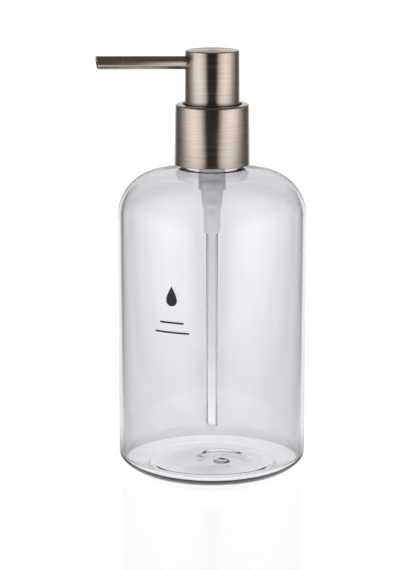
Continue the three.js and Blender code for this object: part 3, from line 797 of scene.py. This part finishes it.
def cut_with(bm, cutter_bm):
    objects = []
    for name, source in (("blank", bm), ("cutter", cutter_bm)):
        mesh = bpy.data.meshes.new(name)
        source.to_mesh(mesh)
        source.free()
        made = bpy.data.objects.new(name, mesh)
        bpy.context.scene.collection.objects.link(made)
        objects.append(made)
    blank, cutter = objects
    modifier = blank.modifiers.new("hole", "BOOLEAN")
    modifier.operation = "DIFFERENCE"
    modifier.solver = "EXACT"
    modifier.object = cutter
    apply_modifiers(blank)
    result = bmesh.new()
    result.from_mesh(blank.data)
    for made in objects:
        bpy.data.objects.remove(made)
    return result


inner_top = head_high.z - SHEET
head_outline = (
    [(0, head_high.z)]
    + arc(HEAD_TOP - HEAD_EDGE, head_high.z - HEAD_EDGE, HEAD_EDGE, HEAD_EDGE, 90, 0, 8)
    + [(head_high.x, head_low.z), (head_high.x - SHEET, head_low.z)]
    + [(HEAD_TOP - SHEET, inner_top), (0, inner_top)]
)
bm = turned_mesh(head_outline, 160)
break_edges(bm, 0.12, segments=3, sharper_than=60)
cutter_outline = [(0, HOLE_START), (HOLE_RADIUS, HOLE_START), (HOLE_RADIUS, HOLE_END), (0, HOLE_END)]
cutter = turned_mesh(cutter_outline, 96)
cutter.transform(spout_place)
bm = cut_with(bm, cutter)
finished(bm, "head", turned_metal, "head", ["head_shell"])

# %% [markdown]
# ## The spout
# The spout is a thin metal tube with a plastic liner. Both are turned about Z and then laid on the spout's
# axis with one matrix. Before that, a slanted plane takes off the metal tip, so the upper side reaches a
# little further and the drop falls clean.

# %% Spout
SPOUT_BORE = 2.17
SPOUT_CUT = math.radians(9)
LINER_RADIUS = 2.1
LINER_BORE = 1.45
LINER_TIP = 46.2
SPARE = 2


def pipe_on_spout(radius, bore, tip, cut=None):
    reach = tip + SPARE if cut else tip
    bm = turned_mesh([(bore, SPOUT_ROOT), (radius, SPOUT_ROOT), (radius, reach), (bore, reach)], 72)
    if cut:
        plane = Vector((-math.sin(cut), 0, math.cos(cut)))
        everything = bm.verts[:] + bm.edges[:] + bm.faces[:]
        bmesh.ops.bisect_plane(bm, geom=everything, plane_co=(0, 0, tip * MM), plane_no=plane,
                               clear_outer=True)
        rims = [edge for edge in bm.edges if len(edge.link_faces) == 1]
        bmesh.ops.bridge_loops(bm, edges=rims)
        bmesh.ops.recalc_face_normals(bm, faces=bm.faces)
    break_edges(bm, 0.07, segments=2, sharper_than=60)
    bm.transform(spout_place)
    return bm


spout_metal = brushed_metal("brushed_spout", "X", spout_place.inverted())
bm = pipe_on_spout(SPOUT_RADIUS, SPOUT_BORE, SPOUT_TIP, SPOUT_CUT)
finished(bm, "spout", spout_metal, "head", ["spout_tube"])
bm = pipe_on_spout(LINER_RADIUS, LINER_BORE, LINER_TIP)
finished(bm, "liner", white_plastic, "head", ["spout_liner"])

# %% [markdown]
# ## Closure, guide and seal
# Under the collar sits a plastic cap with the inside thread, and in the middle of it the guide that keeps
# the stem straight. The thread in the cap runs half a pitch below the neck's, so the two lie in each
# other's valleys. A soft ring seals the lip.

# %% Closure, guide and seal
closure_low, closure_high = node_box("screw_closure")
guide_low, guide_high = node_box("guide_cap")
gasket_low, gasket_high = node_box("neck_gasket")
CLOSURE_WALL = 13.75
CLOSURE_DECK = 1.0
CLOSURE_DRAFT = 0.2
CAP_THREAD_START = 0.2
CAP_THREAD_TURNS = 0.95
TURN_GAP = 0.3
PRESS_GAP = 0.12
GUIDE_BORE = 3.27
GUIDE_SLEEVE = 4.38
GUIDE_TOWER = 5.0
GUIDE_DECK = 1.1
GUIDE_SOCKET = 6.42
GASKET_REACH = 0.6

deck_z = closure_high.z - CLOSURE_DECK
closure_outline = (
    [(closure_high.x, closure_low.z), (closure_high.x - CLOSURE_DRAFT, closure_high.z)]
    + [(guide_high.x + TURN_GAP, closure_high.z), (guide_high.x + TURN_GAP, deck_z)]
    + rows(CLOSURE_WALL, deck_z, closure_low.z, 0.25)
)
bm = turned_mesh(closure_outline, 144)
cap_ridge = NECK_RADIUS + TURN_GAP - CLOSURE_WALL
cap_thread_z = NECK_THREAD_Z - PITCH / 2
raise_thread(bm, CLOSURE_WALL, cap_ridge, cap_thread_z, CAP_THREAD_START, CAP_THREAD_TURNS)
finished(bm, "closure_cap", white_plastic, "closure", ["screw_closure"])

housing_low, housing_high = node_box("pump_housing")
SPIGOT_HEIGHT = 3.3
flange_top = housing_high.z - SPIGOT_HEIGHT
guide_deck_z = housing_high.z + PRESS_GAP
guide_outline = [
    (GUIDE_BORE, guide_low.z),
    (GUIDE_SLEEVE, guide_low.z),
    (GUIDE_SLEEVE, guide_deck_z),
    (GUIDE_SOCKET, guide_deck_z),
    (GUIDE_SOCKET, flange_top + TURN_GAP),
    (guide_high.x, flange_top + TURN_GAP),
    (guide_high.x, guide_deck_z + GUIDE_DECK),
    (GUIDE_TOWER, guide_deck_z + GUIDE_DECK),
    (GUIDE_TOWER, guide_high.z),
    (GUIDE_BORE, guide_high.z),
]
bm = turned_mesh(guide_outline, 96)
break_edges(bm, 0.1, sharper_than=60)
finished(bm, "guide", white_plastic, "pump", ["guide_cap"])

gasket_bore = NECK_BORE - GASKET_REACH
bm = turned_mesh([(gasket_bore, gasket_low.z), (gasket_high.x, gasket_low.z),
                  (gasket_high.x, gasket_high.z), (gasket_bore, gasket_high.z)], 96)
break_edges(bm, 0.12, sharper_than=60)
finished(bm, "gasket", soft_seal, "pump", ["neck_gasket"])

# %% [markdown]
# ## The barrel and the dip tube
# The barrel narrows downwards in two steps, each stretch has a small chamfer, and it is hollow all the way:
# a bore for the piston, a chamber for the ball, a throat and a socket for the tube. It is milky, so what
# lies inside shows as soft shapes. The dip tube ends on a slant, so it can't seal itself against a floor.

# %% Barrel and dip tube
dip_high = node_box("dip_tube")[1]
BARREL_RADIUS = 5.6
BARREL_BORE = 4.5
STEP_LOW = 110.6
STEP_HIGH = 118.0
BARREL_FLOOR = 1.3
FLANGE = 1.0
SPIGOT_RADIUS = 6.3
FOOT_LOW, FOOT_HIGH = 3.42, 3.55
MIDDLE_LOW, MIDDLE_HIGH = 4.0, 4.65
MIDDLE_BORE_LOW, MIDDLE_BORE_HIGH = 3.08, 3.73
CHAMFER = 0.3
CHAMBER_RADIUS = 2.25
SEAT_HIGH, SEAT_LOW = 108.55, 107.4
THROAT_RADIUS = 1.1
DIP_BORE = 1.75
DIP_FOOT = 18.4
DIP_SPARE = 1
DIP_CUT = math.radians(12)
SOCKET_GAP = 0.07

chamber_top = STEP_LOW + BARREL_FLOOR
socket_r = dip_high.x + SOCKET_GAP
socket_z = dip_high.z + 0.1
barrel_outline = [
    (socket_r, housing_low.z),
    (FOOT_LOW - CHAMFER, housing_low.z),
    (FOOT_LOW, housing_low.z + CHAMFER),
    (FOOT_HIGH, STEP_LOW),
    (MIDDLE_LOW - CHAMFER, STEP_LOW),
    (MIDDLE_LOW, STEP_LOW + CHAMFER),
    (MIDDLE_HIGH, STEP_HIGH),
    (BARREL_RADIUS - 2 * CHAMFER, STEP_HIGH),
    (BARREL_RADIUS, STEP_HIGH + 2 * CHAMFER),
    (BARREL_RADIUS, flange_top - FLANGE),
    (housing_high.x, flange_top - FLANGE),
    (housing_high.x, flange_top),
    (SPIGOT_RADIUS, flange_top),
    (SPIGOT_RADIUS, housing_high.z),
    (BARREL_BORE, housing_high.z),
    (BARREL_BORE, STEP_HIGH + BARREL_FLOOR),
    (MIDDLE_BORE_HIGH, STEP_HIGH + BARREL_FLOOR),
    (MIDDLE_BORE_LOW, chamber_top),
    (CHAMBER_RADIUS, chamber_top),
    (CHAMBER_RADIUS, SEAT_HIGH),
    (THROAT_RADIUS, SEAT_LOW),
    (THROAT_RADIUS, socket_z),
    (socket_r, socket_z),
]
bm = turned_mesh(barrel_outline, 128)
break_edges(bm, 0.12, sharper_than=25)
finished(bm, "barrel", frosted_barrel, "pump", ["pump_housing"], smooth_below=30)

bm = turned_mesh([(DIP_BORE, DIP_FOOT - DIP_SPARE), (dip_high.x, DIP_FOOT - DIP_SPARE),
                  (dip_high.x, dip_high.z), (DIP_BORE, dip_high.z)], 72)
everything = bm.verts[:] + bm.edges[:] + bm.faces[:]
bmesh.ops.bisect_plane(bm, geom=everything, plane_co=(0, 0, DIP_FOOT * MM),
                       plane_no=(-math.sin(DIP_CUT), 0, -math.cos(DIP_CUT)), clear_outer=True)
rims = [edge for edge in bm.edges if len(edge.link_faces) == 1]
bmesh.ops.bridge_loops(bm, edges=rims)
bmesh.ops.recalc_face_normals(bm, faces=bm.faces)
break_edges(bm, 0.06, sharper_than=60)
finished(bm, "dip_pipe", frosted_tube, "pump", ["dip_tube"])

# %% [markdown]
# ## Inside the barrel
# The spring is a round wire wound on a mandrel: close turns at the ends, open ones between. One circle is
# spun with a little rise at each step, three times, so each stretch has its own pitch. When the head goes
# When the head goes down the spring closes up. The spring keeps a mesh of its own.

# %% Spring
spring_foot = 112.9
spring_top = 129.5
WIRE = 0.295
COIL_RADIUS = 2.5
SPRING_TURNS = 7
CLOSED_RISE = 0.66
END_GAP = 0.02
STEPS_PER_TURN = 40

open_turns = SPRING_TURNS - 2
open_rise = (spring_top - spring_foot - 2 * WIRE - 2 * CLOSED_RISE) / open_turns
bm = bmesh.new()
start = bmesh.ops.create_circle(bm, cap_ends=False, radius=WIRE * MM, segments=12)["verts"]
bmesh.ops.rotate(bm, verts=start, cent=(0, 0, 0), matrix=Matrix.Rotation(math.pi / 2, 3, "X"))
wire_z = spring_foot + WIRE + END_GAP
bmesh.ops.translate(bm, verts=start, vec=(COIL_RADIUS * MM, 0, wire_z * MM))
ring = bm.verts[:] + bm.edges[:]
for turns, rise in ((1, CLOSED_RISE), (open_turns, open_rise), (1, CLOSED_RISE)):
    steps = turns * STEPS_PER_TURN
    spun = bmesh.ops.spin(bm, geom=ring, cent=(0, 0, 0), axis=(0, 0, 1),
                          dvec=(0, 0, rise * MM / STEPS_PER_TURN),
                          angle=2 * math.pi * turns, steps=steps, use_duplicate=False)
    ring = spun["geom_last"]
bmesh.ops.holes_fill(bm, edges=[edge for edge in bm.edges if len(edge.link_faces) == 1], sides=0)
bmesh.ops.recalc_face_normals(bm, faces=bm.faces)
spring = finished(bm, "spring", spring_steel, "pump", ["return_spring"])
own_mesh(spring)

# %% [markdown]
# The piston is turned like the shells, with a thin flared lip at each end that wipes the bore. The ball is
# a plain ground sphere, so an icosphere is right for it: no poles.

# %% Piston and ball
piston_low, piston_high = node_box("piston")
ball_low, ball_high = node_box("inlet_ball")
PISTON_BORE = 2.38
PISTON_WAIST = 3.7
LIP_HEIGHT = 0.7
WAIST_START = 1.2

piston_outline = [
    (PISTON_BORE, piston_low.z),
    (piston_high.x, piston_low.z),
    (piston_high.x, piston_low.z + LIP_HEIGHT),
    (PISTON_WAIST, piston_low.z + WAIST_START),
    (PISTON_WAIST, piston_high.z - WAIST_START),
    (piston_high.x, piston_high.z - LIP_HEIGHT),
    (piston_high.x, piston_high.z),
    (PISTON_BORE, piston_high.z),
]
bm = turned_mesh(piston_outline, 96)
break_edges(bm, 0.1, sharper_than=30)
finished(bm, "piston_ring", frosted_barrel, "piston", ["piston"])

bm = bmesh.new()
ball_radius = (ball_high.z - ball_low.z) / 2 * MM
bmesh.ops.create_icosphere(bm, subdivisions=4, radius=ball_radius)
bmesh.ops.translate(bm, verts=bm.verts, vec=(0, 0, (ball_low.z + ball_high.z) / 2 * MM))
finished(bm, "ball", spring_steel, "ball", ["inlet_ball"])

# %% [markdown]
# ## Pieces that keep their own mesh
# The stem, its plug, the ball's retainer and the head's core are hidden and already have the right shape,
# so they only get their plastic.

# %% Kept pieces
for node in ("stem", "piston_seat", "ball_retainer", "actuator_core"):
    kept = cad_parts[node]
    kept.data.materials.clear()
    kept.data.materials.append(white_plastic)
    print(node, "keeps its mesh")
